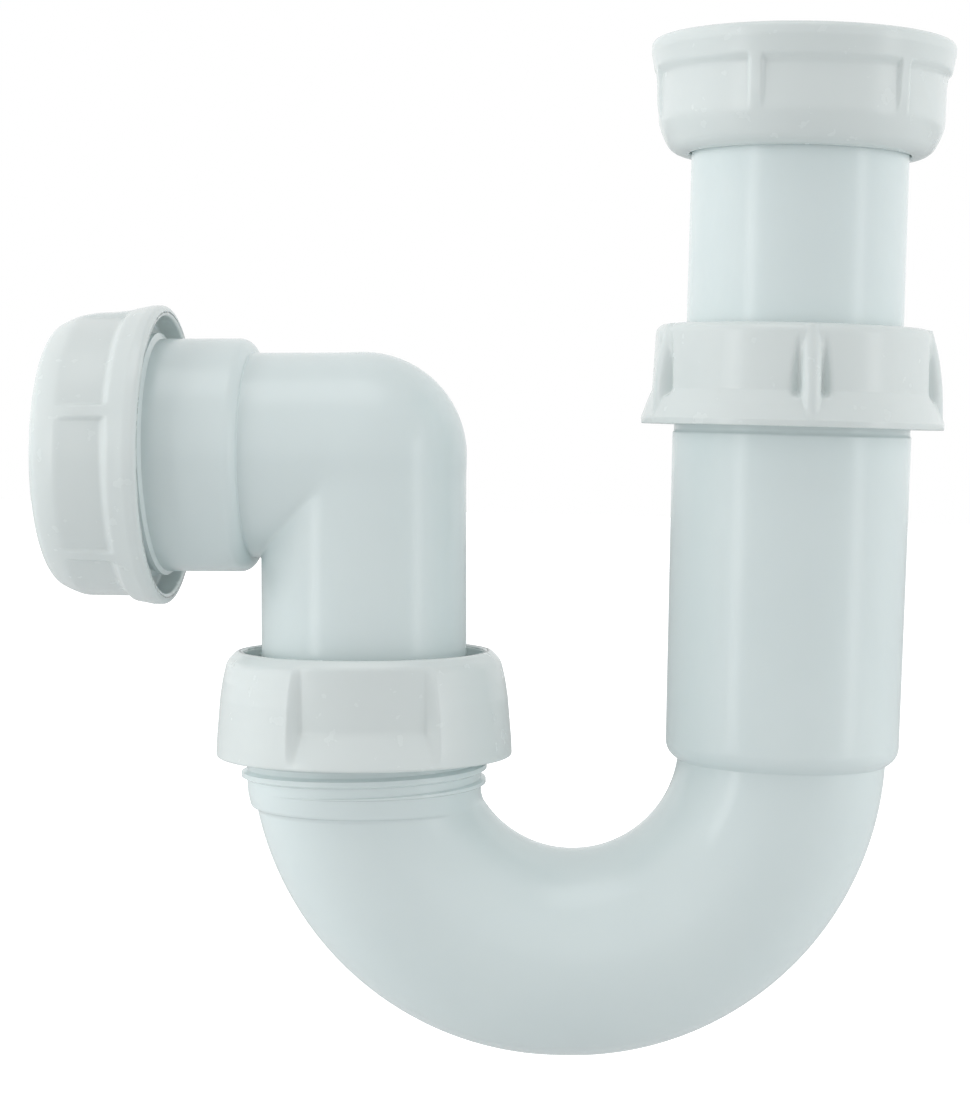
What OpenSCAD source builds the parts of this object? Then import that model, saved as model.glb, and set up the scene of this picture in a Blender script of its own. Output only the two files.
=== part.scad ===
/* [Bend] */
// Distance between the axes of the two legs at the start of the bend
leg_spacing = 81.8; // [76:0.2:90]
// Angle that the outlet leg leans away from the inlet leg
leg_splay = 1.5; // [0:0.1:3]
// Outside diameter of the bend
bend_d = 40.4; // [39:0.1:41.4]
// How much deeper the outlet half of the bend is on its outer side
bend_flare = 2; // [1:0.1:3]
// Wall of the bend and the elbow
wall = 2; // [1.6:0.1:2.2]

/* [Inlet leg] */
// Outside diameter of the telescopic inlet tube
tube_d = 42; // [41:0.1:42.2]
// Wall of the inlet tube
tube_wall = 1.9; // [1.5:0.1:2.2]
// Height of the inlet washer above the middle of the bend
inlet_height = 123.6; // [118:0.2:145]
// Length of the inlet tube below its flange
tube_length = 88; // [80:0.5:92]
// Outside diameter of the sleeve under its thread
sleeve_top_d = 46.3; // [46:0.1:47]
// Outside diameter of the sleeve at its foot
sleeve_foot_d = 45.4; // [45:0.1:46]

/* [Outlet] */
// Outside diameter of the elbow, a 40 mm pipe
elbow_d = 40; // [39.6:0.1:40.2]
// Height of the outlet axis above the middle of the bend
outlet_height = 56.6; // [54:0.2:75]
// Angle that the outlet is turned back about its leg
outlet_turn = 5.5; // [-60:0.5:60]
// Outside diameter of the outlet socket
socket_d = 45.6; // [45.2:0.1:46]
// Bore of the outlet socket, for a 40 mm waste pipe
socket_bore_d = 40.6; // [40.2:0.1:41]

/* [Nuts] */
// Outside diameter of the rim of the inlet and outlet nuts
cup_rim_d = 58.6; // [58:0.1:60]
// Height of the inlet and outlet nuts
cup_h = 21.8; // [21:0.1:24]
// Outside diameter of the skirt of the slide nut
skirt_d = 58.8; // [58:0.1:60]
// Outside diameter of the swivel nut at its mouth
swivel_d = 57.8; // [57.4:0.1:59]
// Bore of the three nuts that screw onto the trap
nut_bore_d = 48.5; // [48.3:0.1:48.8]
// Bore of the inlet nut, for a 1 1/2 inch waste thread
inlet_bore_d = 48; // [47.9:0.1:48.3]

/* [Hidden] */
$fn = 96;
bend_r = leg_spacing / 2;
pipe_r = bend_d / 2;
root_r = 22.9;
thread_r = 24;
tube_r = tube_d / 2;
slide_r = tube_r + 0.3;
elbow_r = elbow_d / 2;
swivel_r = elbow_r + 0.4;
bore_r = nut_bore_d / 2;
// levels on the inlet leg, counted up from the middle of the bend
sleeve_rim = 76.6;
slide_mouth = 63.2;
// levels on the outlet leg, counted the same way
collar_foot = -9.4;
left_rim = 8.5;
swivel_mouth = -2;
// distances along the outlet, counted from the outlet leg
shoulder_at = 21.4;
socket_stop = 31;
socket_end = 51;
outlet_mouth = 39.6;

// places a piece of the outlet leg, drawn with the middle of the bend at the origin
module on_left() {
  translate([-bend_r, 0, -inlet_height]) rotate([0, -leg_splay, 0])
    translate([-bend_r, 0, 0]) children();
}

// places a piece drawn beside its leg, the outlet pointing along -X
module on_elbow() {
  on_left() rotate([0, 0, -outlet_turn]) translate([0, 0, outlet_height]) children();
}

// places a piece drawn along +Z onto the outlet, the outlet leg being at z = 0
module on_outlet() {
  on_elbow() rotate([0, -90, 0]) children();
}

// ring section of a tapered seal: a lip that seats in the chamfer and a head above it
module seal_profile(inner, lip_low, lip_high, lip_h, head, head_h) {
  polygon([[inner, 0], [lip_low, 0], [lip_high, lip_h], [head - 0.4, lip_h], [head, lip_h + 0.4],
           [head, lip_h + head_h - 0.5], [head - 0.5, lip_h + head_h], [inner, lip_h + head_h]]);
}

// outline of the inlet and outlet nuts, closed end down and mouth up
module cup_outline() {
  rim = cup_rim_d / 2;
  polygon([[0, 0], [22.5, 0], [26.03, 2.12], [28.25, 11.04], [28.5, 16.1], [rim, 17.7],
           [rim, cup_h - 1.3], [rim - 1.3, cup_h], [0, cup_h]]);
  translate([22.5, 4]) circle(r = 4);
  intersection() {
    translate([9.25, 11.04]) circle(r = 19, $fn = 200);
    translate([20, 2.12]) square([10, 8.92]);
  }
  translate([rim - 1.3, cup_h - 1.3]) circle(r = 1.3);
}

// one of the six pockets around the inlet and outlet nuts
module cup_pocket() {
  intersection() {
    rotate_extrude() polygon([[27.3, -2], [27.5, 15.5], [29.9, 17.9], [33, 17.9], [33, -2]]);
    translate([0, 0, -1]) linear_extrude(height = 19)
      polygon([[10.2, 4.02], [24.62, 11.87], [32, 15.9], [36, 0], [32, -15.9], [24.62, -11.87],
               [10.2, -4.02]]);
  }
}

// a nut with a mouth bore, a hole in its closed end and six pockets; ridge sets where a ridge is
module cup_nut(bore, hole, ridge) {
  difference() {
    rotate_extrude() cup_outline();
    for (i = [0:5]) rotate([0, 0, ridge + 30 + 60 * i]) cup_pocket();
    translate([0, 0, 3]) cylinder(h = cup_h, r = bore);
    translate([0, 0, cup_h - 0.8]) cylinder(h = 1.6, r1 = bore, r2 = bore + 1.6);
    translate([0, 0, -1]) cylinder(h = 5, r = hole);
    translate([0, 0, -1]) cylinder(h = 1.6, r1 = hole + 1.6, r2 = hole);
  }
}

// the bend, drawn in a plane and stood up: a plain sweep, and a deeper one in its outlet half
module bend(r) {
  sweep = 90 - leg_splay;
  rotate([90, 0, 0]) rotate([0, 0, -90 - sweep]) {
    rotate_extrude(angle = 90 + sweep) translate([bend_r, 0]) circle(r = r);
    rotate([0, 0, 90 + sweep]) translate([-bend_flare, 0, 0]) rotate([0, 0, -90 - sweep])
      rotate_extrude(angle = sweep) translate([bend_r, 0]) circle(r = r - 0.05);
  }
}

module trap_body() {
  color([0.90, 0.93, 0.94]) difference() {
    union() {
      translate([0, 0, -inlet_height]) {
        rotate_extrude() {
          polygon([[0, -2.3], [20, -2.3], [sleeve_foot_d / 2, 1.4], [sleeve_top_d / 2, 61.6],
                   [root_r, 61.9], [root_r, sleeve_rim - 0.4], [root_r - 0.4, sleeve_rim],
                   [0, sleeve_rim]]);
          intersection() {
            translate([sleeve_foot_d / 2 - 3.8, 1.4]) circle(r = 3.8);
            translate([0, -2.3]) square([40, 3.7]);
          }
        }
        translate([-bend_r, 0, 0]) bend(pipe_r);
      }
      on_left() rotate_extrude()
        polygon([[0, collar_foot], [root_r - 0.6, collar_foot], [root_r, collar_foot + 0.6],
                 [root_r, left_rim - 0.4], [root_r - 0.4, left_rim], [0, left_rim]]);
    }
    translate([0, 0, -inlet_height]) {
      rotate_extrude()
        polygon([[0, -2], [pipe_r - wall - 3, -2], [pipe_r - wall + 1.2, 1.2], [slide_r, 1.2],
                 [slide_r, 71.6], [22.1, sleeve_rim], [22.1, sleeve_rim + 2], [0, sleeve_rim + 2]]);
      translate([-bend_r, 0, 0]) bend(pipe_r - wall);
    }
    on_left() rotate_extrude()
      polygon([[0, -7], [swivel_r, -7], [swivel_r, 3.8], [22, left_rim], [22, left_rim + 2],
               [0, left_rim + 2]]);
  }
}

module inlet_tube() {
  color([0.89, 0.92, 0.94]) rotate_extrude() difference() {
    polygon([[tube_r - tube_wall, -2.5], [23.2, -2.5], [23.4, -2.7], [23.4, -4.7], [23.2, -4.9],
             [tube_r, -4.9], [tube_r, -4.5 - tube_length], [tube_r - 0.5, -5 - tube_length],
             [tube_r - tube_wall, -5 - tube_length]]);
    polygon([[tube_r - tube_wall - 1, -5.8 - tube_length], [tube_r - tube_wall + 0.8, -5.8 - tube_length],
             [tube_r - tube_wall - 1, -4 - tube_length]]);
  }
}

module inlet_nut() {
  color([0.92, 0.94, 0.94]) difference() {
    translate([0, 0, -8]) cup_nut(inlet_bore_d / 2, tube_r + 0.4, 11);
    translate([0, 0, -5]) cylinder(h = 5, r = inlet_bore_d / 2 + 0.3);
  }
}

module inlet_washer() {
  color([0.16, 0.17, 0.18]) rotate_extrude() difference() {
    translate([19.6, -2.45]) square([3.8, 2.45]);
    translate([22.9, -1.2]) square([1, 0.5]);
  }
}

// one rib of the slide nut and the two grooves beside it
module slide_rib() {
  translate([27.3, 0, 0]) rotate([0, -2.6, 0]) cylinder(h = 18.6, r = 1.9);
}

module slide_groove(side) {
  translate([27.5, side * 2.5, 5.4]) rotate([0, 3, 0]) cylinder(h = 11.2, r = 0.95, $fn = 32);
}

module slide_nut() {
  skirt = skirt_d / 2;
  color([0.92, 0.94, 0.94]) translate([0, 0, slide_mouth - inlet_height]) difference() {
    union() {
      rotate_extrude() {
        polygon([[0, 0], [skirt - 0.3, 0], [skirt, 0.3], [skirt, 1.1], [28.5, 4], [27.35, 6.6],
                 [26.8, 17.2], [24.6, 19.4], [0, 19.4]]);
        translate([24.6, 17.2]) circle(r = 2.2);
      }
      intersection() {
        for (i = [0:4]) rotate([0, 0, -82.5 + 72 * i]) slide_rib();
        rotate_extrude() {
          polygon([[0, 0.4], [29.2, 0.4], [28.7, 6], [28.1, 16.2], [25.4, 18.9], [0, 18.9]]);
          translate([25.4, 16.2]) circle(r = 2.7);
        }
      }
    }
    for (i = [0:4], side = [-1, 1]) rotate([0, 0, -82.5 + 72 * i]) slide_groove(side);
    translate([0, 0, -1]) cylinder(h = 17.9, r = bore_r);
    translate([0, 0, -0.8]) cylinder(h = 1.6, r1 = bore_r + 1.6, r2 = bore_r);
    cylinder(h = 30, r = tube_r + 0.4);
    translate([0, 0, 18.8]) cylinder(h = 1.6, r1 = tube_r + 0.4, r2 = tube_r + 2);
  }
}

module slide_ring() {
  color([0.85, 0.87, 0.88]) translate([0, 0, sleeve_rim + 2.05 - inlet_height])
    rotate_extrude() translate([tube_r + 0.35, 0]) square([23.6 - tube_r - 0.35, 1.45]);
}

module slide_seal() {
  color([0.16, 0.17, 0.18]) translate([0, 0, 72 - inlet_height]) rotate_extrude()
    seal_profile(tube_r + 0.05, slide_r + 0.03, 22.02, 4.6, 22.9, 2);
}

module outlet_elbow() {
  socket = socket_d / 2;
  round = socket - elbow_r;
  inner = elbow_r - wall;
  foot = -outlet_height - 6.6;
  color([0.89, 0.92, 0.94]) on_elbow() difference() {
    union() {
      rotate_extrude() polygon([[0, foot], [elbow_r - 0.6, foot], [elbow_r, foot + 0.6],
                                [elbow_r, 0], [0, 0]]);
      sphere(r = elbow_r);
      rotate([0, -90, 0]) rotate_extrude() {
        polygon([[0, 0], [elbow_r, 0], [elbow_r, shoulder_at], [socket, shoulder_at + round],
                 [socket, socket_end - 0.4], [socket - 0.4, socket_end], [0, socket_end]]);
        translate([elbow_r, shoulder_at + round]) intersection() {
          circle(r = round);
          translate([0, -round]) square([round, round]);
        }
      }
    }
    translate([0, 0, foot - 1]) cylinder(h = 1 - foot, r = inner);
    sphere(r = inner);
    rotate([0, -90, 0]) rotate_extrude()
      polygon([[0, 0], [inner, 0], [inner, socket_stop], [socket_bore_d / 2, socket_stop],
               [socket_bore_d / 2, socket_end - 4.6], [21.9, socket_end], [21.9, socket_end + 2],
               [0, socket_end + 2]]);
  }
}

// one of the three pockets of the swivel nut
module swivel_pocket() {
  intersection() {
    rotate_extrude() polygon([[26.2, 24], [26.2, 6.8], [28.4, 1.9], [32, -6], [34, 24]]);
    translate([0, 0, -4]) linear_extrude(height = 30)
      polygon([[12.2, 1.4], [23.34, 11.89], [34, 21.93], [38, 0], [34, -21.93], [23.34, -11.89],
               [12.2, -1.4]]);
  }
}

module swivel_nut() {
  mouth = swivel_d / 2;
  color([0.92, 0.94, 0.94]) on_left() translate([0, 0, swivel_mouth]) difference() {
    rotate_extrude() {
      polygon([[0, 0], [mouth - 0.5, 0], [mouth, 0.5], [mouth - 0.1, 3], [28.1, 11.5],
               [27.53, 14.9], [24.2, 20.5], [0, 20.5]]);
      intersection() {
        translate([21.65, 13.95]) circle(r = 5.95);
        translate([21.65, 14.9]) square([10, 5.6]);
      }
      intersection() {
        translate([24.3, 17.7]) circle(r = 2.8);
        translate([20, 17]) square([10, 3.5]);
      }
    }
    for (i = [0:2]) rotate([0, 0, -88 + 120 * i]) swivel_pocket();
    translate([0, 0, -1]) cylinder(h = 15, r = bore_r);
    translate([0, 0, -0.8]) cylinder(h = 1.6, r1 = bore_r + 1.6, r2 = bore_r);
    cylinder(h = 30, r = elbow_r + 0.6);
    translate([0, 0, 16.5]) cylinder(h = 6, r = 23.5);
    translate([0, 0, 19.9]) cylinder(h = 1.2, r1 = 23.5, r2 = 24.7);
  }
}

module swivel_ring() {
  color([0.85, 0.87, 0.88]) on_left() translate([0, 0, left_rim + 2.05])
    rotate_extrude() translate([elbow_r + 0.35, 0]) square([23.6 - elbow_r - 0.35, 1.4]);
}

module swivel_seal() {
  color([0.16, 0.17, 0.18]) on_left() translate([0, 0, 4]) rotate_extrude()
    seal_profile(elbow_r + 0.05, swivel_r + 0.03, 21.92, 4.5, 23, 2);
}

module outlet_nut() {
  color([0.92, 0.94, 0.94]) on_outlet() translate([0, 0, outlet_mouth + cup_h - 0.9])
    mirror([0, 0, 1]) cup_nut(bore_r, socket_bore_d / 2 + 0.4, 47.5);
}

module outlet_ring() {
  color([0.85, 0.87, 0.88]) on_outlet() translate([0, 0, outlet_mouth + cup_h - 5.4])
    rotate_extrude() translate([socket_bore_d / 2 + 0.2, 0])
      square([23.6 - socket_bore_d / 2 - 0.2, 1.45]);
}

module outlet_seal() {
  color([0.16, 0.17, 0.18]) on_outlet() translate([0, 0, socket_end - 4.4]) rotate_extrude()
    seal_profile(socket_bore_d / 2 + 0.03, socket_bore_d / 2 + 0.08, 21.8, 4.4, 22.8, 2);
}

trap_body();
inlet_tube();
inlet_nut();
inlet_washer();
slide_nut();
slide_ring();
slide_seal();
outlet_elbow();
swivel_nut();
swivel_ring();
swivel_seal();
outlet_nut();
outlet_ring();
outlet_seal();
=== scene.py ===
from math import asin, atan2, ceil, cos, degrees, exp, hypot, pi, radians, sin, sqrt, tan

import bmesh
import bpy
from mathutils import Matrix, Vector


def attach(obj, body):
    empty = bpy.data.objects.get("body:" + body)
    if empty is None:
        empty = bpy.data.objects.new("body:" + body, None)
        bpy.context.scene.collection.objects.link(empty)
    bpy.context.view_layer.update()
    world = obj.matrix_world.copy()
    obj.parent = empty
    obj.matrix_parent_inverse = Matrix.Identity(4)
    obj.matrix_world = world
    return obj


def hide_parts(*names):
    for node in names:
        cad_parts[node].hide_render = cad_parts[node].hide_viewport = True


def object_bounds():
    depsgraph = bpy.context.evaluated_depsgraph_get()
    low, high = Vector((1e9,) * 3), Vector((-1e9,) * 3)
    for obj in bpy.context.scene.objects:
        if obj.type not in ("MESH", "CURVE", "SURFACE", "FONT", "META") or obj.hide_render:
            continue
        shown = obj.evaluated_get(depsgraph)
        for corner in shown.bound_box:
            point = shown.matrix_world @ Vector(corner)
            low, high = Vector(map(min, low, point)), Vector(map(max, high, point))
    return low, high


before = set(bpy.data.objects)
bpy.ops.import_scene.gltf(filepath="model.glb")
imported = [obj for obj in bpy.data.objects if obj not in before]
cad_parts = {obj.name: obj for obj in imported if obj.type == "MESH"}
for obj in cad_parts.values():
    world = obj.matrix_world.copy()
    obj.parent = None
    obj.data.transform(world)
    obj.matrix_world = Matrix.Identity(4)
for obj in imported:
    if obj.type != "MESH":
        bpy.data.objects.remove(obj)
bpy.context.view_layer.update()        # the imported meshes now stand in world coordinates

scene = bpy.context.scene
mm = 0.001

# where the legs stand, in mm, as in the CAD model
layout = {
    "legSpacing": 81.8,      # between the two legs
    "splay": 1.5,            # the outlet leg leans away, degrees
    "inletHeight": 123.6,    # washer above the middle of the bend
    "outletHeight": 56.6,    # outlet axis above the middle of the bend
    "outletTurn": 5.5,       # outlet turned back, degrees
    "columns": 144,          # faces round a pipe
}
bendR = layout["legSpacing"] / 2
bendFrame = Matrix.Translation((-bendR, 0, -layout["inletHeight"]))
inletFrame = Matrix.Translation((0, 0, -layout["inletHeight"]))
legFrame = (bendFrame @ Matrix.Rotation(radians(-layout["splay"]), 4, "Y")
            @ Matrix.Translation((-bendR, 0, 0)))
elbowFrame = (legFrame @ Matrix.Rotation(radians(-layout["outletTurn"]), 4, "Z")
              @ Matrix.Translation((0, 0, layout["outletHeight"])))
outletFrame = elbowFrame @ Matrix.Rotation(radians(-90), 4, "Y")


# small tools for meshes
def ramp(x, low, high):
    # 0 below low, 1 above high, soft at both ends
    t = min(1.0, max(0.0, (x - low) / (high - low)))
    return t * t * (3 - 2 * t)


def softMax(a, b, k):
    # the larger of two, with a fillet of about k between them
    h = max(0.0, k - abs(a - b)) / k
    return max(a, b) + h * h * k * 0.25


def softMin(a, b, k):
    return -softMax(-a, -b, k)


def rounded(points, step=1.2, longest=None):
    # closed profile of (radius, height, fillet) corners -> dense list of (radius, height)
    out = []
    count = len(points)
    for i, (r, z, fillet) in enumerate(points):
        p = Vector((r, z))
        a = Vector(points[i - 1][:2]) - p
        b = Vector(points[(i + 1) % count][:2]) - p
        la, lb = a.length, b.length
        a.normalize()
        b.normalize()
        turn = a.angle(b)
        if fillet <= 0 or turn > pi - 0.02:
            out.append(p)
            continue
        cut = min(fillet / tan(turn / 2), 0.48 * la, 0.48 * lb)
        radius = cut * tan(turn / 2)
        middle = p + (a + b).normalized() * (radius / sin(turn / 2))
        start, end = p + a * cut, p + b * cut
        sweep = pi - turn
        parts = max(3, int(ceil(sweep * radius / (step * 0.22))), int(ceil(degrees(sweep) / 14)))
        parts = min(parts, 14)
        side = min(0.3, 0.3 * la)
        out.append(start + a * min(side, max(0.0, (la - cut) * 0.4)))
        s, e = start - middle, end - middle
        angle = atan2(s.x * e.y - s.y * e.x, s.dot(e))
        for k in range(parts + 1):
            t = angle * k / parts
            out.append(middle + Vector((s.x * cos(t) - s.y * sin(t), s.x * sin(t) + s.y * cos(t))))
        out.append(end + b * min(0.3, max(0.0, (lb - cut) * 0.4)))
    if longest:
        dense = []
        for i, p in enumerate(out):
            q = out[(i + 1) % len(out)]
            parts = max(1, int(ceil((q - p).length / longest)))
            dense += [p + (q - p) * (k / parts) for k in range(parts)]
        out = dense
    clean = [out[0]]
    for p in out[1:]:
        if (p - clean[-1]).length > 1e-4:
            clean.append(p)
    return clean


def finishMesh(bm, name, place, material, smooth=True):
    # mm in a piece's own frame -> one object in metres, standing in the row frame
    bm.normal_update()
    bmesh.ops.recalc_face_normals(bm, faces=bm.faces)
    bm.transform(Matrix.Scale(mm, 4) @ place)
    mesh = bpy.data.meshes.new(name)
    bm.to_mesh(mesh)
    bm.free()
    for face in mesh.polygons:
        face.use_smooth = smooth
    mesh.materials.append(material)
    piece = bpy.data.objects.new(name, mesh)
    scene.collection.objects.link(piece)
    return piece


def skin(rings, closed=True):
    # rings of points joined in order, and the last to the first when closed
    bm = bmesh.new()
    rows = [[bm.verts.new(p) for p in ring] for ring in rings]
    size = len(rows[0])
    for i in range(len(rows) if closed else len(rows) - 1):
        low, high = rows[i], rows[(i + 1) % len(rows)]
        for j in range(size):
            k = (j + 1) % size
            bm.faces.new((low[j], low[k], high[k], high[j]))
    return bm


def turned(profile, columns):
    # a closed profile turned round the Z axis
    return skin([[Vector((p.x * cos(2 * pi * j / columns), p.x * sin(2 * pi * j / columns), p.y))
                  for j in range(columns)] for p in profile])


def sector(profile, angles, shape):
    # one slice of a turned piece, open at its two sides; shape gives each point its radius
    bm = bmesh.new()
    rows = [[bm.verts.new((shape(p, a) * cos(a), shape(p, a) * sin(a), p.y)) for a in angles]
            for p in profile]
    for i in range(len(rows)):
        low, high = rows[i], rows[(i + 1) % len(rows)]
        for j in range(len(angles) - 1):
            bm.faces.new((low[j], low[j + 1], high[j + 1], high[j]))
    return bm


def slices(half, marks, fine=0.45, coarse=2.4):
    # angles from -half to half in degrees, close together near the marks
    out, a = [], -half
    while a < half - 1e-6:
        out.append(a)
        near = min(abs(a - m) - w for m, w in marks)
        a += fine if near < 0.6 else min(coarse, max(fine, near * 0.6))
    if half - out[-1] < 0.25 * fine:
        out.pop()
    return [radians(x) for x in out] + [radians(half)]


# materials: moulded polypropylene, two tints of it, the slip rings, and seal rubber
def plastic(name, spec):
    made = bpy.data.materials.new(name)
    made.use_nodes = True
    nodes, links = made.node_tree.nodes, made.node_tree.links
    shader = nodes["Principled BSDF"]
    shader.inputs["IOR"].default_value = spec["ior"]
    shader.inputs["Specular IOR Level"].default_value = spec["specular"]
    if spec.get("glow"):
        shader.inputs["Subsurface Weight"].default_value = spec["glow"]
        shader.inputs["Subsurface Radius"].default_value = spec["glowReach"]
        shader.inputs["Subsurface Scale"].default_value = 0.001
    place = nodes.new("ShaderNodeTexCoord")
    cloud = nodes.new("ShaderNodeTexNoise")      # slow drift of the melt's tint
    cloud.inputs["Scale"].default_value = spec["cloudScale"]
    cloud.inputs["Detail"].default_value = 3
    tint = nodes.new("ShaderNodeValToRGB")
    tint.color_ramp.elements[0].position = 0.32
    tint.color_ramp.elements[1].position = 0.70
    tint.color_ramp.elements[0].color = (*spec["shade"], 1)
    tint.color_ramp.elements[1].color = (*spec["colour"], 1)
    polish = nodes.new("ShaderNodeTexNoise")     # unevenness of the mould's polish
    polish.inputs["Scale"].default_value = spec["polishScale"]
    polish.inputs["Detail"].default_value = 4
    gloss = nodes.new("ShaderNodeMapRange")
    gloss.inputs["From Min"].default_value = 0.3
    gloss.inputs["From Max"].default_value = 0.7
    gloss.inputs["To Min"].default_value = spec["rough"][0]
    gloss.inputs["To Max"].default_value = spec["rough"][1]
    sink = nodes.new("ShaderNodeTexNoise")       # faint waves left by shrinkage
    sink.inputs["Scale"].default_value = spec["waveScale"]
    sink.inputs["Detail"].default_value = 1
    grain = nodes.new("ShaderNodeTexNoise")
    grain.inputs["Scale"].default_value = spec["grainScale"]
    grain.inputs["Detail"].default_value = 2
    mix = nodes.new("ShaderNodeMath")
    mix.operation = "MULTIPLY_ADD"
    mix.inputs[1].default_value = spec["grainShare"]
    bump = nodes.new("ShaderNodeBump")
    bump.inputs["Strength"].default_value = spec["bump"]
    bump.inputs["Distance"].default_value = 0.0004
    for node in (cloud, polish, sink, grain):
        links.new(place.outputs["Object"], node.inputs["Vector"])
    links.new(cloud.outputs["Fac"], tint.inputs["Fac"])
    links.new(tint.outputs["Color"], shader.inputs["Base Color"])
    links.new(polish.outputs["Fac"], gloss.inputs["Value"])
    links.new(gloss.outputs["Result"], shader.inputs["Roughness"])
    links.new(grain.outputs["Fac"], mix.inputs[0])
    links.new(sink.outputs["Fac"], mix.inputs[2])
    links.new(mix.outputs["Value"], bump.inputs["Height"])
    links.new(bump.outputs["Normal"], shader.inputs["Normal"])
    return made


finishes = {
    "pipe": {"colour": (0.722, 0.806, 0.808), "shade": (0.702, 0.788, 0.792), "ior": 1.49,
             "specular": 0.5, "glow": 0.12, "glowReach": (1.6, 1.8, 2.0), "rough": (0.19, 0.26),
             "cloudScale": 38, "polishScale": 260, "waveScale": 55, "grainScale": 2600,
             "grainShare": 0.05, "bump": 0.10},
    "nut": {"colour": (0.711, 0.768, 0.761), "shade": (0.696, 0.753, 0.748), "ior": 1.49,
            "specular": 0.5, "glow": 0.12, "glowReach": (1.6, 1.8, 2.0), "rough": (0.21, 0.28),
            "cloudScale": 38, "polishScale": 260, "waveScale": 55, "grainScale": 2600,
            "grainShare": 0.05, "bump": 0.08},
    "ring": {"colour": (0.66, 0.69, 0.69), "shade": (0.61, 0.64, 0.64), "ior": 1.49,
             "specular": 0.45, "rough": (0.42, 0.55), "cloudScale": 60, "polishScale": 400,
             "waveScale": 90, "grainScale": 2000, "grainShare": 0.2, "bump": 0.2},
    "seal": {"colour": (0.030, 0.031, 0.033), "shade": (0.018, 0.019, 0.020), "ior": 1.52,
             "specular": 0.4, "rough": (0.55, 0.75), "cloudScale": 90, "polishScale": 500,
             "waveScale": 120, "grainScale": 1800, "grainShare": 0.35, "bump": 0.35},
}
pipeWhite = plastic("pipeWhite", finishes["pipe"])
nutWhite = plastic("nutWhite", finishes["nut"])
ringWhite = plastic("ringWhite", finishes["ring"])
sealRubber = plastic("sealRubber", finishes["seal"])
print("materials made")


# geometry node trees
def newTree(name, inputs):
    tree = bpy.data.node_groups.new(name, "GeometryNodeTree")
    tree.interface.new_socket("Geometry", in_out="INPUT", socket_type="NodeSocketGeometry")
    ids = {}
    for label, kind, value in inputs:
        socket = tree.interface.new_socket(label, in_out="INPUT", socket_type="NodeSocket" + kind)
        if value is not None:
            socket.default_value = value
        ids[label] = socket.identifier
    tree.interface.new_socket("Geometry", in_out="OUTPUT", socket_type="NodeSocketGeometry")
    start = tree.nodes.new("NodeGroupInput")
    end = tree.nodes.new("NodeGroupOutput")
    return tree, ids, start, end


def addMath(tree, operation, a, b=None):
    node = tree.nodes.new("ShaderNodeMath")
    node.operation = operation
    for slot, value in ((0, a), (1, b)):
        if value is None:
            continue
        if isinstance(value, (int, float)):
            node.inputs[slot].default_value = value
        else:
            tree.links.new(value, node.inputs[slot])
    return node.outputs[0]


def repeatTree():
    # copies one slice round the Z axis and welds the joins
    tree, ids, start, end = newTree("repeatAround", [
        ("Count", "Int", 6), ("First angle", "Float", 0.0), ("Weld distance", "Float", 0.002),
        ("Material", "Material", None)])
    nodes, links = tree.nodes, tree.links
    points = nodes.new("GeometryNodePoints")
    links.new(start.outputs["Count"], points.inputs["Count"])
    copies = nodes.new("GeometryNodeInstanceOnPoints")
    index = nodes.new("GeometryNodeInputIndex")
    step = addMath(tree, "DIVIDE", 2 * pi, start.outputs["Count"])
    turn = addMath(tree, "ADD", addMath(tree, "MULTIPLY", index.outputs[0], step),
                   start.outputs["First angle"])
    angles = nodes.new("ShaderNodeCombineXYZ")
    links.new(turn, angles.inputs["Z"])
    links.new(points.outputs[0], copies.inputs["Points"])
    links.new(start.outputs["Geometry"], copies.inputs["Instance"])
    links.new(angles.outputs[0], copies.inputs["Rotation"])
    real = nodes.new("GeometryNodeRealizeInstances")
    links.new(copies.outputs["Instances"], real.inputs[0])
    weld = nodes.new("GeometryNodeMergeByDistance")
    links.new(real.outputs[0], weld.inputs["Geometry"])
    links.new(start.outputs["Weld distance"], weld.inputs["Distance"])
    dress = nodes.new("GeometryNodeSetMaterial")
    links.new(weld.outputs[0], dress.inputs["Geometry"])
    links.new(start.outputs["Material"], dress.inputs["Material"])
    links.new(dress.outputs[0], end.inputs["Geometry"])
    return tree, ids


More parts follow.
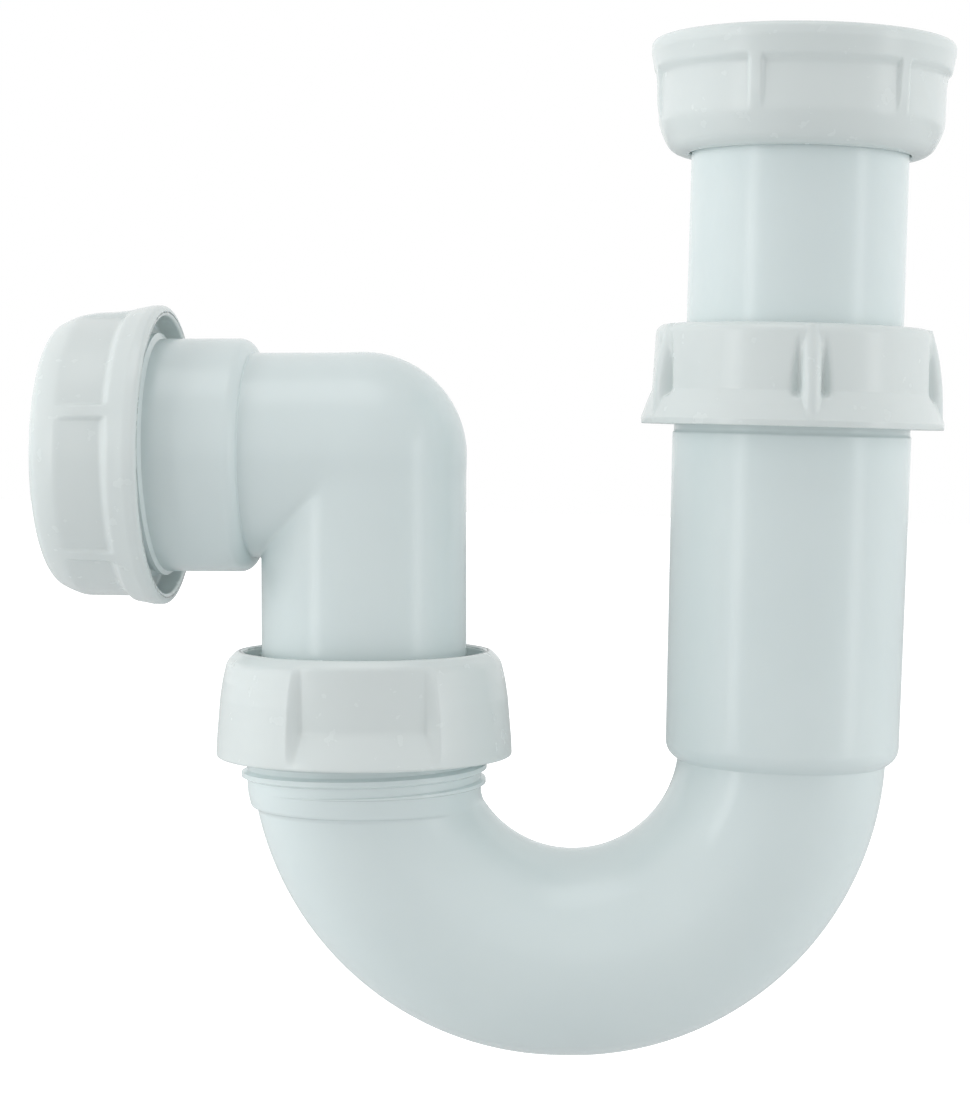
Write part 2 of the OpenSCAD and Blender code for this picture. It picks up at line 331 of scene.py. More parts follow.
def coilTree():
    # a screw thread: a trapezoid swept up a helix, running out at both ends
    tree, ids, start, end = newTree("threadCoil", [
        ("Root radius", "Float", 22.8), ("Pitch", "Float", 3.0), ("Turns", "Float", 4.0),
        ("Root width", "Float", 2.2), ("Crest width", "Float", 1.0), ("Height", "Float", 1.2),
        ("Foot", "Float", 0.0), ("First angle", "Float", 0.0), ("Runout turns", "Float", 0.4),
        ("Inward", "Bool", False), ("Material", "Material", None)])
    nodes, links = tree.nodes, tree.links
    helix = nodes.new("GeometryNodeCurveSpiral")
    helix.inputs["Resolution"].default_value = 96
    helix.inputs["Reverse"].default_value = True     # the right-hand way
    links.new(start.outputs["Turns"], helix.inputs["Rotations"])
    links.new(start.outputs["Root radius"], helix.inputs["Start Radius"])
    links.new(start.outputs["Root radius"], helix.inputs["End Radius"])
    links.new(addMath(tree, "MULTIPLY", start.outputs["Turns"], start.outputs["Pitch"]),
              helix.inputs["Height"])
    upright = nodes.new("GeometryNodeSetCurveNormal")
    upright.mode = "Z_UP"
    links.new(helix.outputs[0], upright.inputs["Curve"])
    along = nodes.new("GeometryNodeSplineParameter")
    back = addMath(tree, "SUBTRACT", 1.0, along.outputs["Factor"])
    near = addMath(tree, "MINIMUM", along.outputs["Factor"], back)
    share = addMath(tree, "DIVIDE", start.outputs["Turns"], start.outputs["Runout turns"])
    grow = addMath(tree, "MINIMUM", addMath(tree, "MAXIMUM", addMath(tree, "MULTIPLY", near, share), 0.02), 1.0)
    radius = nodes.new("GeometryNodeSetCurveRadius")
    links.new(upright.outputs[0], radius.inputs["Curve"])
    links.new(grow, radius.inputs["Radius"])
    profile = nodes.new("GeometryNodeCurvePrimitiveQuadrilateral")
    profile.mode = "TRAPEZOID"
    links.new(start.outputs["Root width"], profile.inputs["Bottom Width"])
    links.new(start.outputs["Crest width"], profile.inputs["Top Width"])
    profile.inputs["Offset"].default_value = 0
    links.new(start.outputs["Height"], profile.inputs["Height"])
    # the trapezoid stands on its root, and lies over so that its height runs outwards
    lift = nodes.new("GeometryNodeTransform")
    links.new(profile.outputs[0], lift.inputs["Geometry"])
    raised = nodes.new("ShaderNodeCombineXYZ")
    links.new(addMath(tree, "DIVIDE", start.outputs["Height"], 2.0), raised.inputs["Y"])
    links.new(raised.outputs[0], lift.inputs["Translation"])
    side = nodes.new("GeometryNodeSwitch")
    side.input_type = "FLOAT"
    links.new(start.outputs["Inward"], side.inputs["Switch"])
    side.inputs["False"].default_value = -pi / 2
    side.inputs["True"].default_value = pi / 2
    lean = nodes.new("ShaderNodeCombineXYZ")
    links.new(side.outputs[0], lean.inputs["Z"])
    tip = nodes.new("GeometryNodeTransform")
    links.new(lift.outputs[0], tip.inputs["Geometry"])
    links.new(lean.outputs[0], tip.inputs["Rotation"])
    sweep = nodes.new("GeometryNodeCurveToMesh")
    links.new(radius.outputs[0], sweep.inputs["Curve"])
    links.new(tip.outputs[0], sweep.inputs["Profile Curve"])
    sweep.inputs["Fill Caps"].default_value = True
    if "Scale" in sweep.inputs:
        links.new(grow, sweep.inputs["Scale"])
    stand = nodes.new("GeometryNodeTransform")
    foot = nodes.new("ShaderNodeCombineXYZ")
    links.new(start.outputs["Foot"], foot.inputs["Z"])
    spin = nodes.new("ShaderNodeCombineXYZ")
    links.new(start.outputs["First angle"], spin.inputs["Z"])
    links.new(sweep.outputs[0], stand.inputs["Geometry"])
    links.new(foot.outputs[0], stand.inputs["Translation"])
    links.new(spin.outputs[0], stand.inputs["Rotation"])
    real = nodes.new("GeometryNodeRealizeInstances")
    links.new(stand.outputs[0], real.inputs[0])
    dress = nodes.new("GeometryNodeSetMaterial")
    links.new(real.outputs[0], dress.inputs["Geometry"])
    links.new(start.outputs["Material"], dress.inputs["Material"])
    links.new(dress.outputs[0], end.inputs["Geometry"])
    return tree, ids


repeatAround, repeatIds = repeatTree()
threadCoil, coilIds = coilTree()


def runTree(name, source, tree, ids, values, place, body, smooth=True):
    # evaluates a tree on a source mesh and leaves one plain mesh, in metres, on its body
    holder = bpy.data.objects.new(name + "Holder", source)
    scene.collection.objects.link(holder)
    modifier = holder.modifiers.new("nodes", "NODES")
    modifier.node_group = tree
    for label, value in values.items():
        modifier[ids[label]] = value
    graph = bpy.context.evaluated_depsgraph_get()
    mesh = bpy.data.meshes.new_from_object(holder.evaluated_get(graph))
    bpy.data.objects.remove(holder)
    bm = bmesh.new()
    bm.from_mesh(mesh)
    bmesh.ops.remove_doubles(bm, verts=bm.verts, dist=1e-4)
    bm.transform(place)
    bm.normal_update()
    bmesh.ops.recalc_face_normals(bm, faces=bm.faces)
    bm.transform(Matrix.Scale(mm, 4))
    bm.to_mesh(mesh)
    bm.free()
    mesh.name = name
    for face in mesh.polygons:
        face.use_smooth = smooth
    piece = bpy.data.objects.new(name, mesh)
    scene.collection.objects.link(piece)
    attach(piece, body)
    return piece


def asMesh(bm, name, material):
    mesh = bpy.data.meshes.new(name)
    bmesh.ops.recalc_face_normals(bm, faces=bm.faces)
    bm.to_mesh(mesh)
    bm.free()
    mesh.materials.append(material)
    return mesh


def thread(name, body, place, material, spec):
    # crestAt, the height of one crest where the thread faces the photographer, is not used
    seed = bpy.data.meshes.new(name + "Seed")
    values = {"Root radius": float(spec["root"]), "Pitch": float(spec["pitch"]),
              "Turns": float(spec["turns"]), "Root width": float(spec["rootWidth"]),
              "Crest width": float(spec["crestWidth"]), "Height": float(spec["height"]),
              "Foot": float(spec["foot"]), "First angle": radians(spec["firstAngle"]),
              "Runout turns": float(spec["runout"]), "Inward": bool(spec.get("inward", False)),
              "Material": material}
    piece = runTree(name, seed, threadCoil, coilIds, values, place, body,
                    smooth=False)
    piece.data.shade_smooth()
    piece.data.set_sharp_from_angle(angle=radians(38))
    return piece


# the trap body: sleeve, bend and outlet leg in one shell
trap = {
    "pipeR": 20.2, "wall": 2.0, "flare": 2.0,
    "sleeveTopR": 23.15, "sleeveFootR": 22.7, "footFillet": 3.8, "threadRootR": 22.9,
    "sleeveRim": 76.6, "shoulder": 61.6, "sleeveBoreR": 21.3, "seat": 71.6,
    "legRim": 8.5, "collarR": 22.75, "collarFootR": 22.3, "collarFoot": -11.2,
    "pocketR": 20.4, "pocketFloor": -7.0,
}


def tubeAt(x, z):
    # centre distance and radius of the bend's outer wall on the ray through (x, z)
    length = hypot(x, z) or 1e-9
    ux, uz = x / length, z / length
    near = bendR - trap["pipeR"]
    far = bendR + trap["pipeR"]
    if ux < 0:
        f = trap["flare"]
        far = max(far, -f * ux + sqrt(far * far - f * f * uz * uz))
    return (near + far) / 2, (far - near) / 2


def tubeGap(point, less):
    # below zero inside the bend's tube, thinned by less; point is seen from the bend's middle
    centre, radius = tubeAt(point.x, point.z)
    return hypot(hypot(point.x, point.z) - centre, point.y) - (radius - less)


def reach(centre, direction, less, low=4.0, high=40.0):
    # distance from centre to the tube's wall along direction
    if tubeGap(centre + direction * low, less) > 0:
        return low
    for _ in range(34):
        half = (low + high) / 2
        if tubeGap(centre + direction * half, less) > 0:
            high = half
        else:
            low = half
    return (low + high) / 2


def trapRings(less, inletProfile, outletProfile, start, finish):
    # rings from the inlet leg's top, round the bend, to the outlet leg's top
    n = layout["columns"]
    turns = [2 * pi * j / n for j in range(n)]
    rings = []
    # inlet leg: radius by height, blended with the tube near the bend
    for r, z in inletProfile:
        centre = Vector((bendR, 0, z))
        ring = []
        for a in turns:
            d = Vector((cos(a), sin(a), 0))
            radius = r
            if z < 8:
                tube = reach(centre, d, less) if z < 0 else 0.0
                radius = softMax(tube, r, 1.0) if z < 0 else r
            ring.append(centre + d * radius)
        rings.append(ring)
    # the bend: planes fan about two pivots and stand square to the tube between them
    a0, a1 = start, finish
    planes = []
    low = inletProfile[-1][1]
    pivot = Vector((low * cos(radians(a0)) / -sin(radians(a0)), 0, low))
    steps = 12
    for k in range(1, steps):
        t = radians(a0) * k / steps
        planes.append((pivot, Vector((cos(t), 0, -sin(t)))))
    count = 56
    for k in range(count + 1):
        t = radians(a0 + (a1 - a0) * k / count)
        planes.append((Vector((0, 0, 0)), Vector((cos(t), 0, -sin(t)))))
    lean = radians(layout["splay"])
    top = outletProfile[0][1]
    # the outlet leg's plane at height top leans with the leg
    across = Vector((-cos(lean), 0, -sin(lean)))
    onLeg = Vector((-sin(lean) * top, 0, cos(lean) * top))
    t1 = radians(a1)
    ray = Vector((cos(t1), 0, -sin(t1)))
    # pivot where the last square plane meets the leg's plane
    det = ray.x * -across.z + across.x * ray.z
    along = (onLeg.x * -across.z + across.x * onLeg.z) / det
    pivot2 = ray * along
    end = pi - lean
    for k in range(1, 22):
        t = t1 + (end - t1) * k / 22
        planes.append((pivot2, Vector((cos(t), 0, -sin(t)))))
    for base, w in planes:
        # the ring's centre is where the plane crosses the tube's middle line
        lowS, highS = 0.0, 90.0
        for _ in range(40):
            half = (lowS + highS) / 2
            p = base + w * half
            if hypot(p.x, p.z) < tubeAt(p.x, p.z)[0]:
                lowS = half
            else:
                highS = half
        centre = base + w * ((lowS + highS) / 2)
        rings.append([centre + (w * cos(a) + Vector((0, 1, 0)) * sin(a))
                      * reach(centre, w * cos(a) + Vector((0, 1, 0)) * sin(a), less) for a in turns])
    # outlet leg: its axis leans away, its angle runs the other way round
    axis = Vector((-sin(lean), 0, cos(lean)))
    foot = Vector((-bendR * cos(lean), 0, -bendR * sin(lean)))
    for r, z in outletProfile:
        centre = foot + axis * z
        ring = []
        for a in turns:
            d = across * cos(a) + Vector((0, 1, 0)) * sin(a)
            radius = r
            if z < trap["pocketFloor"] + 3.5 and (less == 0 or z < trap["pocketFloor"]):
                tube = reach(centre, d, less)
                radius = softMax(tube, r, 1.3 if less == 0 else 0.3)
            ring.append(centre + d * radius)
        rings.append(ring)
    return rings


def spread(low, high, step):
    count = max(1, int(ceil(abs(high - low) / step)))
    return [low + (high - low) * k / count for k in range(count + 1)]


def makeTrapBody():
    t = trap
    f = t["footFillet"]
    outer = []
    # from the rim down: thread root, shoulder, tapered sleeve, rounded foot
    for k in range(7):
        a = radians(90 - 15 * k)
        outer.append((t["threadRootR"] - 0.5 + 0.5 * cos(a), t["sleeveRim"] - 0.5 + 0.5 * sin(a)))
    outer += [(t["threadRootR"], t["sleeveRim"] - 1.0), (t["threadRootR"], 66.0), (t["threadRootR"], 62.4)]
    outer += [(t["threadRootR"] + 0.02, 61.9), (t["sleeveTopR"] - 0.12, 61.75), (t["sleeveTopR"] - 0.02, 61.6),
              (t["sleeveTopR"], 61.3), (t["sleeveTopR"] - 0.004, 60.8)]
    for z in spread(58.0, 4.0, 6.0):
        share = (z - 1.4) / (t["shoulder"] - 1.4)
        outer.append((t["sleeveFootR"] + (t["sleeveTopR"] - t["sleeveFootR"]) * share, z))
    for k in range(17):
        a = radians(5.5 * k)
        outer.append((t["sleeveFootR"] - f + f * cos(a), 1.4 - f * sin(a)))
    outer += [(15.0, z) for z in (-2.75, -3.2, -3.7, -4.4, -5.2, -6.0)]
    leg = []
    # up from the bend: rounded foot of the collar, collar, thread root, rim
    for z in (-14.4, -13.6, -12.9, -12.4):
        leg.append((15.0, z))
    for k in range(9):
        a = radians(-90 + 11.25 * k)
        leg.append((t["collarFootR"] - 0.9 + 0.9 * cos(a), t["collarFoot"] + 0.2 + 0.9 * sin(a)))
    leg += [(t["collarFootR"] + 0.12, -10.6), (t["collarR"] - 0.1, -9.6), (t["collarR"], -8.9),
            (t["threadRootR"] - 0.05, -8.0), (t["threadRootR"], -6.5), (t["threadRootR"], -4.0),
            (t["threadRootR"], -2.0), (t["threadRootR"], 4.0), (t["threadRootR"], 7.5)]
    for k in range(7):
        a = radians(15 * k)
        leg.append((t["threadRootR"] - 0.5 + 0.5 * cos(a), t["legRim"] - 0.5 + 0.5 * sin(a)))
    outerRings = trapRings(0.0, outer, leg, 30.0, 118.0)
    # the bore: seat for the seal, sleeve, floor, bend, pocket for the elbow, seat for its seal
    bore = [(22.15, t["sleeveRim"]), (22.0, t["sleeveRim"] - 0.3), (21.35, t["seat"] + 0.2), (21.3, t["seat"] - 0.3)]
    bore += [(21.3, z) for z in spread(60.0, 2.0, 10.0)]
    bore += [(21.25, 1.5), (21.05, 1.28), (20.7, 1.2), (19.6, 1.2), (19.2, 1.05), (18.3, 0.3), (18.15, -0.2)]
    bore += [(12.0, -1.0), (12.0, -3.0), (12.0, -6.0)]
    seat = [(12.0, -14.0), (12.0, -11.0), (12.0, -8.5), (12.0, -7.4)]
    seat += [(19.2, -7.05), (20.1, -7.0), (20.35, -6.8), (20.4, -6.4), (20.4, -2.0), (20.4, 3.4), (20.45, 3.8),
             (21.9, t["legRim"] - 0.35), (22.1, t["legRim"])]
    innerRings = trapRings(t["wall"], bore, seat, 30.0, 118.0)
    bm = skin(outerRings + innerRings[::-1])
    piece = finishMesh(bm, "trapBody", bendFrame, pipeWhite)
    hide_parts("trap_body")
    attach(piece, "trap")
    thread("trapLegThread", "trap", legFrame, pipeWhite,
           {"root": 22.75, "pitch": 3.0, "turns": 5.3, "rootWidth": 2.1, "crestWidth": 0.9,
            "height": 1.25, "foot": -8.3, "firstAngle": -150, "runout": 0.5})
    thread("trapSleeveThread", "trap", inletFrame, pipeWhite,
           {"root": 22.75, "pitch": 3.0, "turns": 4.3, "rootWidth": 2.1, "crestWidth": 0.9,
            "height": 1.25, "foot": 63.2, "firstAngle": -40, "runout": 0.5})
    return piece


makeTrapBody()
print("trap body made")

# the telescopic inlet tube, flanged under the nut
tube = {"outerR": 21.0, "wall": 1.9, "flangeR": 23.4, "flangeTop": -2.5, "flangeFoot": -4.9, "foot": -93.0}


def makeInletTube():
    t = tube
    inner = t["outerR"] - t["wall"]
    profile = rounded([
        (inner, t["flangeTop"], 0.5), (t["flangeR"], t["flangeTop"], 0.35),
        (t["flangeR"], t["flangeFoot"], 0.35), (t["outerR"], t["flangeFoot"], 0.6),
        (t["outerR"], t["foot"], 0.6), (inner + 0.5, t["foot"], 0.3), (inner, t["foot"] + 1.2, 0.4)])
    piece = finishMesh(turned(profile, layout["columns"]), "inletTube", Matrix(), pipeWhite)
    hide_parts("inlet_tube")
    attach(piece, "inlet_leg")


makeInletTube()
print("inlet tube made")

# the outlet elbow: round corner outside, mitred crease inside, socket at its end
elbow = {"outerR": 20.0, "wall": 2.0, "foot": -63.2, "shoulder": 21.4, "socketR": 22.8, "socketEnd": 51.0,
         "stop": 31.0, "boreR": 20.3, "crease": 0.5, "fan": 21.25}


def elbowGap(point, less):
    # the corner is everything within a radius of the two axes, with a small fillet in the crease
    down = hypot(point.x, point.y) if point.z < 0 else point.length
    out = hypot(point.z, point.y) if point.x < 0 else point.length
    return softMin(down, out, elbow["crease"]) - (elbow["outerR"] - less)


def elbowReach(centre, direction, less):
    low, high = 0.0, 60.0
    # walk out first, so that the nearest wall is found
    s = 8.0
    while s < 60 and elbowGap(centre + direction * s, less) < 0:
        s += 1.0
    low, high = s - 1.0, s
    for _ in range(30):
        half = (low + high) / 2
        if elbowGap(centre + direction * half, less) > 0:
            high = half
        else:
            low = half
    return (low + high) / 2


def elbowRings(less, leg, socket):
    n = layout["columns"]
    turns = [2 * pi * j / n for j in range(n)]
    y = Vector((0, 1, 0))
    rings = []
    for r, z in leg:
        rings.append([Vector((r * cos(a), r * sin(a), z)) for a in turns])
    fan = elbow["fan"]
    pivot = Vector((-fan, 0, -fan))
    marks = sorted(set([k / 46 for k in range(47)] + [0.5 + d for d in (-0.012, -0.006, 0.006, 0.012)]))
    for share in marks:
        t = radians(90) * share
        w = Vector((cos(t), 0, sin(t)))
        # the ring's centre lies on a quarter circle through both axes
        centre = pivot + w * fan
        rings.append([centre + (w * cos(a) + y * sin(a)) * elbowReach(centre, w * cos(a) + y * sin(a), less)
                      for a in turns])
    for r, out in socket:
        rings.append([Vector((-out, r * sin(a), r * cos(a))) for a in turns])
    return rings


def makeElbow():
    e = elbow
    r, s = e["outerR"], e["socketR"]
    leg = [(r - 0.6 + 0.6 * sin(radians(15 * k)), e["foot"] + 0.6 - 0.6 * cos(radians(15 * k))) for k in range(7)]
    leg += [(r, e["foot"] + 1.0), (r, -50.0), (r, -36.0), (r, -26.0), (r, -22.2)]
    step = s - r
    socket = []
    # rounded shoulder up to the socket, with a tight fillet at its foot
    socket += [(r + 0.02, e["shoulder"] - 0.02), (r + 0.12, e["shoulder"] + 0.06), (r + 0.3, e["shoulder"] + 0.1)]
    for k in range(1, 13):
        a = radians(90 * k / 12)
        if k > 1:
            socket.append((r + step * sin(a), e["shoulder"] + step - step * cos(a)))
    socket += [(s, e["shoulder"] + step + 0.6), (s, 30.0), (s, 40.0), (s, e["socketEnd"] - 1.0)]
    for k in range(7):
        a = radians(15 * k)
        socket.append((s - 0.5 + 0.5 * cos(a), e["socketEnd"] - 0.5 + 0.5 * sin(a)))
    outer = elbowRings(0.0, leg, socket)
    inner = r - e["wall"]
    legBore = [(inner + 0.5, e["foot"]), (inner + 0.15, e["foot"] + 0.15), (inner, e["foot"] + 0.5)]
    legBore += [(inner, z) for z in (-50.0, -36.0, -26.0, -22.2)]
    mouth = [(inner, 23.0), (inner, 30.4), (inner + 0.1, 30.85), (inner + 0.5, 31.0), (20.0, 31.0), (20.25, 31.12),
             (20.3, 31.4), (20.3, 36.0), (20.3, 45.9), (20.36, 46.4), (21.8, 50.75), (22.0, 51.0)]
    bore = elbowRings(e["wall"], legBore, mouth)
    piece = finishMesh(skin(outer + bore[::-1]), "outletElbow", elbowFrame, pipeWhite)
    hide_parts("outlet_elbow")
    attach(piece, "elbow")
    thread("socketThread", "elbow", outletFrame, pipeWhite,
           {"root": 22.65, "pitch": 3.0, "turns": 4.2, "rootWidth": 2.1, "crestWidth": 0.9,
            "height": 1.3, "foot": 38.2, "firstAngle": 60, "runout": 0.5})


makeElbow()
print("outlet elbow made")

# nuts
cup = {"rimR": 29.3, "height": 21.8, "floor": 3.0, "pockets": 6, "halfPocket": 27.3, "edge": 0.9,
       "pocketR": 27.5, "ledgeAt": 15.0, "lipR": 27.2, "lipFoot": 17.3}


def cupWall(z):
    # outer radius of the inlet and outlet nuts by height over the closed end
    if z < 2.12:
        return 22.5 + sqrt(max(0.0, 16 - (4 - z) ** 2))
    if z < 11.04:
        return 9.25 + sqrt(361 - (11.04 - z) ** 2)
    return 28.25 + 1.05 * min(1.0, (z - 11.04) / 8.36) ** 1.7     # the wall flares into the rim


def cupNut(name, node, body, place, bore, hole, ridge, relief=0.0, recess=False):
    c = cup
    wall = []
    z = 0.0
    while z < 19.2:
        wall.append((cupWall(z), z, 0))
        z += 0.12 if z < 1 else 0.45
    rim = c["rimR"]
    corners = [(r, h, 0) for r, h, _ in wall]
    corners += [(rim, 19.4, 0.0), (rim, c["height"], 1.15)]
    if recess:
        corners += [(c["lipR"], c["height"], 0.5), (c["lipR"], c["lipFoot"], 0.5), (bore, c["lipFoot"], 0.4)]
    else:
        corners += [(bore + 1.0, c["height"], 0.35), (bore, c["height"] - 1.0, 0.3)]
    if relief:
        corners += [(bore, 8.0, 0.15), (bore + relief, 7.7, 0.15)]
    corners += [(bore + relief, c["floor"], 0.5), (hole, c["floor"], 0.4), (hole, 0.0, 0.6)]
    profile = rounded(corners, longest=0.7)
    # only the outer wall takes the pockets
    limit = bore + 1.6
    angles = slices(180 / c["pockets"], [(-c["halfPocket"], c["edge"]), (c["halfPocket"], c["edge"])])

    def shape(p, a):
        if p.x < limit or p.y > 20.4:
            return p.x
        half = abs(degrees(a))
        share = 1 - ramp(half, c["halfPocket"] - c["edge"], c["halfPocket"] + c["edge"])
        target = c["pocketR"] + 0.01 * p.y
        if p.y > c["ledgeAt"] - 1:
            target = softMax(target, target + (p.y - c["ledgeAt"]), 0.5)
        depth = softMax(0.0, p.x - target, 0.25) - 0.0625 * 0.25
        return p.x - share * max(0.0, depth)

    bm = sector(profile, angles, shape)
    source = asMesh(bm, name + "Slice", nutWhite)
    first = radians(ridge + 180 / c["pockets"])
    piece = runTree(name, source, repeatAround, repeatIds,
                    {"Count": c["pockets"], "First angle": first, "Weld distance": 0.002,
                     "Material": nutWhite}, place, body)
    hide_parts(node)
    return piece


cupNut("inletNut", "inlet_nut", "inlet_nut", Matrix.Translation((0, 0, -8)), 24.0, 21.4, 5.5, relief=0.3)
thread("inletNutThread", "inlet_nut", Matrix.Translation((0, 0, -8)), nutWhite,
       {"root": 24.1, "pitch": 2.309, "turns": 4.9, "rootWidth": 1.75, "crestWidth": 0.5, "height": 1.5,
        "foot": 9.2, "firstAngle": 20, "runout": 0.5, "inward": True})
outletNutFrame = (outletFrame @ Matrix.Translation((0, 0, 39.6 + 21.8 - 0.9))
                  @ Matrix.Diagonal((1, 1, -1, 1)))
cupNut("outletNut", "outlet_nut", "outlet_nut", outletNutFrame, 24.25, 20.7, 47.5, recess=True)
thread("outletNutThread", "outlet_nut", outletFrame, nutWhite,
       {"root": 24.35, "pitch": 3.0, "turns": 4.4, "rootWidth": 1.3, "crestWidth": 0.45, "height": 1.15,
        "foot": 41.2, "firstAngle": 240, "runout": 0.5, "inward": True})
print("inlet and outlet nuts made")

slide = {"mouth": 63.2, "skirtR": 29.4, "ribs": 5, "firstRib": -89.5, "bore": 24.25, "hole": 21.4,
         "ribR": 1.9, "grooveWidth": 2.5}


def makeSlideNut():
    s = slide
    corners = [(s["skirtR"] - 0.1, 0, 0.25), (s["skirtR"], 1.15, 0.3), (28.45, 4.0, 0.9), (27.35, 6.7, 0.5),
               (26.85, 19.3, 1.9), (s["hole"] + 0.7, 19.4, 0.6), (s["hole"], 18.6, 0.3), (s["hole"], 16.9, 0.4),
               (s["bore"], 16.9, 0.5), (s["bore"], 0.8, 0.3), (s["bore"] + 0.9, 0, 0.3)]
    profile = rounded(corners, longest=0.36)
    angles = slices(180 / s["ribs"], [(0, 8.5)], fine=0.36)

    def shape(p, a):
        r, z = p.x, p.y
        if r < 25.4 or (z > 16.5 and r < 26.0 and z > 19.0):
            return r
        across = abs(r * a)
        # rib: a rounded wedge that leans out towards the skirt
        crest = 29.25 - 2.7 * (z / 19.4) ** 2.6
        base = s["ribR"]
        middle = crest - base
        rib = middle + sqrt(max(0.0, base * base - across * across)) if across < base else 0.0
        # groove on each side, deep at its foot and fading towards the top
        deep = 1.45 * ramp(z, 5.0, 6.4) * (1 - ramp(z, 6.5, 18.0)) ** 0.8
        narrow = 0.55 + 0.4 * (1 - ramp(z, 6.0, 17.0))
        groove = deep * exp(-((across - s["grooveWidth"]) / narrow) ** 2)
        body = r - groove
        if rib > 0 and z > 0.2:
            body = softMax(body, rib - 0.5 * groove, 0.35)
        return min(body, s["skirtR"])

    source = asMesh(sector(profile, angles, shape), "slideNutSlice", nutWhite)
    piece = runTree("slideNut", source, repeatAround, repeatIds,
                    {"Count": s["ribs"], "First angle": radians(s["firstRib"]), "Weld distance": 0.002,
                     "Material": nutWhite},
                    inletFrame @ Matrix.Translation((0, 0, s["mouth"])), "slide_nut")
    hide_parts("slide_nut")
    thread("slideNutThread", "slide_nut", inletFrame, nutWhite,
           {"root": 24.35, "pitch": 3.0, "turns": 4.3, "rootWidth": 1.3, "crestWidth": 0.45, "height": 1.15,
            "foot": 64.7, "firstAngle": 140, "runout": 0.5, "inward": True})


makeSlideNut()

swivel = {"mouth": -2.0, "mouthR": 28.9, "pockets": 3, "firstPocket": -88, "bore": 24.25, "hole": 20.6,
          "recessR": 23.5, "inner": 26.5, "outer": 30.0, "pocketR": 26.2, "ledgeTop": 6.8, "ledgeSlope": 0.449}


def makeSwivelNut():
    s = swivel
    m = s["mouthR"]
    corners = [(m, 0, 0.5), (m - 0.1, 3.0, 0), (28.1, 11.5, 5.0), (27.6, 14.9, 3.0), (26.75, 18.6, 3.0),
               (24.9, 20.5, 1.6), (s["recessR"] + 0.3, 20.5, 0.45), (s["recessR"], 19.9, 0.3),
               (s["recessR"], 16.5, 0.4), (s["hole"], 16.5, 0.4), (s["hole"], 14.0, 0.4), (s["bore"], 14.0, 0.5),
               (s["bore"], 0.8, 0.3), (s["bore"] + 0.9, 0, 0.3)]
    profile = rounded(corners, longest=0.55)
    angles = slices(180 / s["pockets"], [(-28.2, 2.8), (28.2, 2.8)], fine=0.36)

    def shape(p, a):
        r, z = p.x, p.y
        if r < 24.9 or z < 0.35:
            return r
        half = abs(degrees(a))
        t = (s["outer"] - half) / (s["outer"] - s["inner"])
        share = softMin(1.0, softMax(0.0, t, 0.22), 0.22)
        share = min(1.0, max(0.0, share))
        target = softMax(s["pocketR"], s["pocketR"] + (s["ledgeTop"] - z) * s["ledgeSlope"], 0.2)
        depth = softMax(0.0, r - target, 0.5) - 0.03
        return r - share * max(0.0, depth)

    source = asMesh(sector(profile, angles, shape), "swivelNutSlice", nutWhite)
    piece = runTree("swivelNut", source, repeatAround, repeatIds,
                    {"Count": s["pockets"], "First angle": radians(s["firstPocket"]), "Weld distance": 0.002,
                     "Material": nutWhite},
                    legFrame @ Matrix.Translation((0, 0, s["mouth"])), "swivel_nut")
    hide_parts("swivel_nut")
    thread("swivelNutThread", "swivel_nut", legFrame, nutWhite,
           {"root": 24.35, "pitch": 3.0, "turns": 3.4, "rootWidth": 1.3, "crestWidth": 0.45, "height": 1.15,
            "foot": -0.6, "firstAngle": 30, "runout": 0.5, "inward": True})


makeSwivelNut()
print("slide and swivel nuts made")

# the hidden rings, seals and the washer keep their CAD solids and get their finish
for nodeName, made in (("inlet_washer", sealRubber), ("slide_ring", ringWhite), ("slide_seal", sealRubber),
                       ("swivel_ring", ringWhite), ("swivel_seal", sealRubber), ("outlet_ring", ringWhite),
                       ("outlet_seal", sealRubber)):
    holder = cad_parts[nodeName]
    if not holder.data.materials:
        holder.data.materials.append(made)
    for slotIndex in range(len(holder.material_slots)):
        holder.material_slots[slotIndex].material = made
print("rings and seals dressed")

# studio
studio = {
    "floorDrop": 0.085,            # floor under the bend, metres
    "cameraAt": (-0.05976, -0.50762, -0.06256),
    "cameraUp": (-0.02615, 0.04572, 0.99861),
    "cameraLook": (0.0012, 0.99895, -0.0457),
    "lens": 85.25,
    "fill": 0.625,                 # world light on the object
    "stripAngle": {"left": 54.5, "right": 62.5}, "stripWidth": 0.21, "stripTall": 0.62, "stripPower": 1.0,
    "sideAngle": 88, "sideSize": 0.85, "sidePower": 4.8, "topPower": 2.2,
}


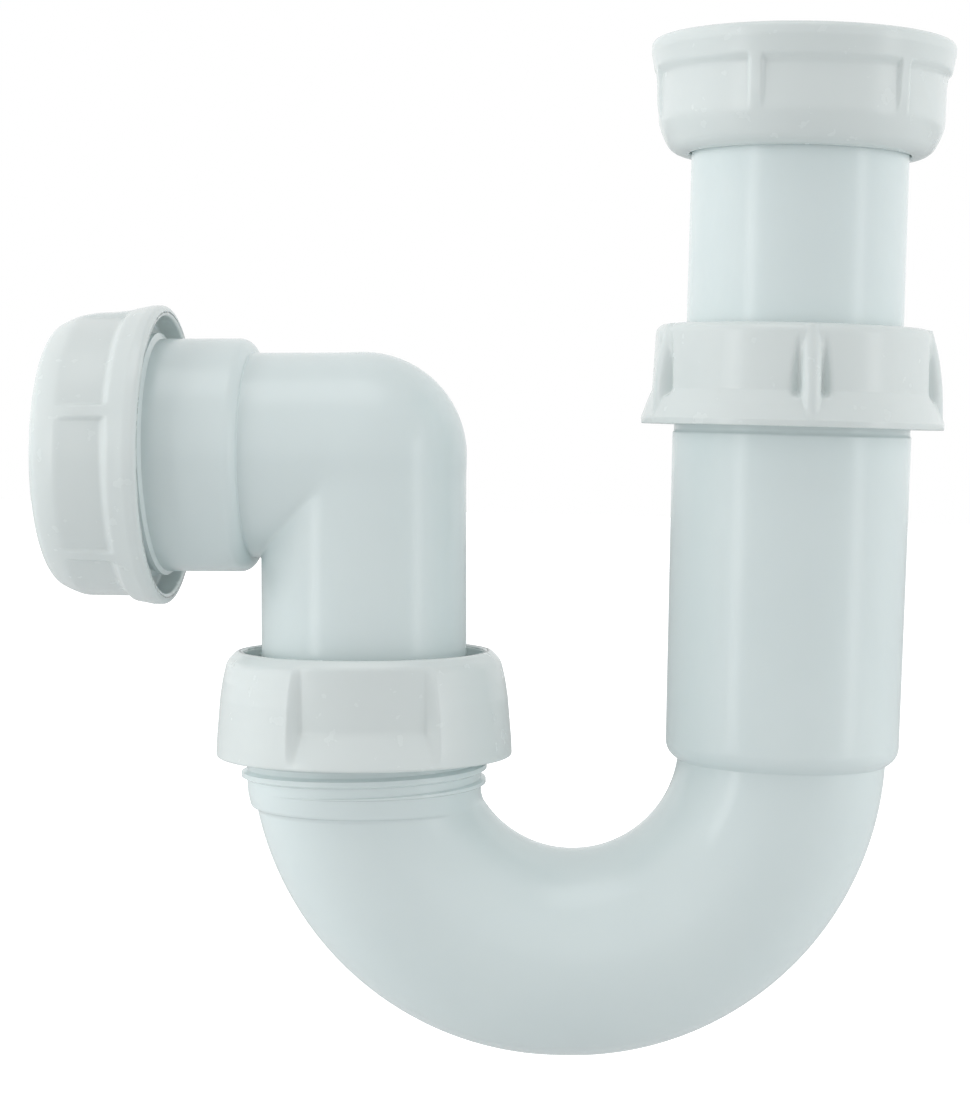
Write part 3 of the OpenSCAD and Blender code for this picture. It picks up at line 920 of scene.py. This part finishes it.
def makeStudio():
    s = studio
    world = bpy.data.worlds.new("studioWorld")
    scene.world = world
    world.use_nodes = True
    nodes, links = world.node_tree.nodes, world.node_tree.links
    nodes.clear()
    end = nodes.new("ShaderNodeOutputWorld")
    seen = nodes.new("ShaderNodeBackground")
    seen.inputs["Color"].default_value = (1, 1, 1, 1)
    seen.inputs["Strength"].default_value = 1.0
    lit = nodes.new("ShaderNodeBackground")
    lit.inputs["Color"].default_value = (1, 1, 1, 1)
    lit.inputs["Strength"].default_value = s["fill"]
    path = nodes.new("ShaderNodeLightPath")
    either = nodes.new("ShaderNodeMath")
    either.operation = "MAXIMUM"
    links.new(path.outputs["Is Camera Ray"], either.inputs[0])
    links.new(path.outputs["Is Glossy Ray"], either.inputs[1])
    every = nodes.new("ShaderNodeMath")
    every.operation = "MAXIMUM"
    links.new(either.outputs[0], every.inputs[0])
    links.new(path.outputs["Is Transmission Ray"], every.inputs[1])
    mix = nodes.new("ShaderNodeMixShader")
    links.new(every.outputs[0], mix.inputs[0])
    links.new(lit.outputs[0], mix.inputs[1])
    links.new(seen.outputs[0], mix.inputs[2])
    links.new(mix.outputs[0], end.inputs["Surface"])

    # pale floor, seen as white but keeping the object's shadow
    floorMat = bpy.data.materials.new("floorPaper")
    floorMat.use_nodes = True
    nodes, links = floorMat.node_tree.nodes, floorMat.node_tree.links
    shader = nodes["Principled BSDF"]
    shader.inputs["Base Color"].default_value = (0.73, 0.74, 0.745, 1)
    shader.inputs["Roughness"].default_value = 0.9
    shader.inputs["Specular IOR Level"].default_value = 0.1
    glow = nodes.new("ShaderNodeEmission")
    glow.inputs["Color"].default_value = (1, 1, 1, 1)
    path = nodes.new("ShaderNodeLightPath")
    scale = nodes.new("ShaderNodeMath")
    scale.operation = "MULTIPLY"
    scale.inputs[1].default_value = 0.78
    links.new(path.outputs["Is Camera Ray"], scale.inputs[0])
    links.new(scale.outputs[0], glow.inputs["Strength"])
    both = nodes.new("ShaderNodeAddShader")
    links.new(shader.outputs[0], both.inputs[0])
    links.new(glow.outputs[0], both.inputs[1])
    links.new(both.outputs[0], nodes["Material Output"].inputs["Surface"])
    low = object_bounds()[0][2] - s["floorDrop"]
    bm = bmesh.new()
    bmesh.ops.create_grid(bm, x_segments=8, y_segments=8, size=6.0)
    mesh = bpy.data.meshes.new("floorSheet")
    bm.to_mesh(mesh)
    bm.free()
    mesh.transform(Matrix.Translation((0, 0, low)))
    mesh.materials.append(floorMat)
    floor = bpy.data.objects.new("floorSheet", mesh)
    scene.collection.objects.link(floor)

    def softbox(name, azimuth, height, distance, width, tall, power, aim=(-0.05, 0, -0.09), mirrored=True):
        lamp = bpy.data.lights.new(name, "AREA")
        lamp.shape = "RECTANGLE"
        lamp.size, lamp.size_y = width, tall
        lamp.energy = power
        piece = bpy.data.objects.new(name, lamp)
        piece.visible_glossy = mirrored
        a = radians(azimuth)
        at = Vector((aim[0] + distance * sin(a), -distance * cos(a), height))
        piece.location = at
        piece.rotation_euler = (Vector(aim) - at).to_track_quat("-Z", "Y").to_euler()
        scene.collection.objects.link(piece)

    for side, share in (("left", 1.0), ("right", 0.7)):
        sign = -1 if side == "left" else 1
        softbox(side + "Strip", sign * s["stripAngle"][side], -0.06, 1.0, s["stripWidth"], s["stripTall"],
                s["stripPower"] * share)
        softbox(side + "Panel", sign * s["sideAngle"], 0.05, 1.0, s["sideSize"], s["sideSize"],
                s["sidePower"] * share, mirrored=False)
    softbox("topPanel", -12, 1.15, 0.35, 0.9, 0.7, s["topPower"])

    eye = bpy.data.cameras.new("photoEye")
    eye.lens = s["lens"]
    eye.sensor_width = 36
    eye.clip_start, eye.clip_end = 0.01, 50
    camera = bpy.data.objects.new("photoEye", eye)
    look, up = Vector(s["cameraLook"]).normalized(), Vector(s["cameraUp"]).normalized()
    right = look.cross(up).normalized()
    up = right.cross(look)
    turn = Matrix((right, up, -look)).transposed()
    camera.matrix_world = Matrix.Translation(s["cameraAt"]) @ turn.to_4x4()
    scene.collection.objects.link(camera)
    scene.camera = camera
    scene.view_settings.view_transform = "Standard"


makeStudio()
print("studio made")
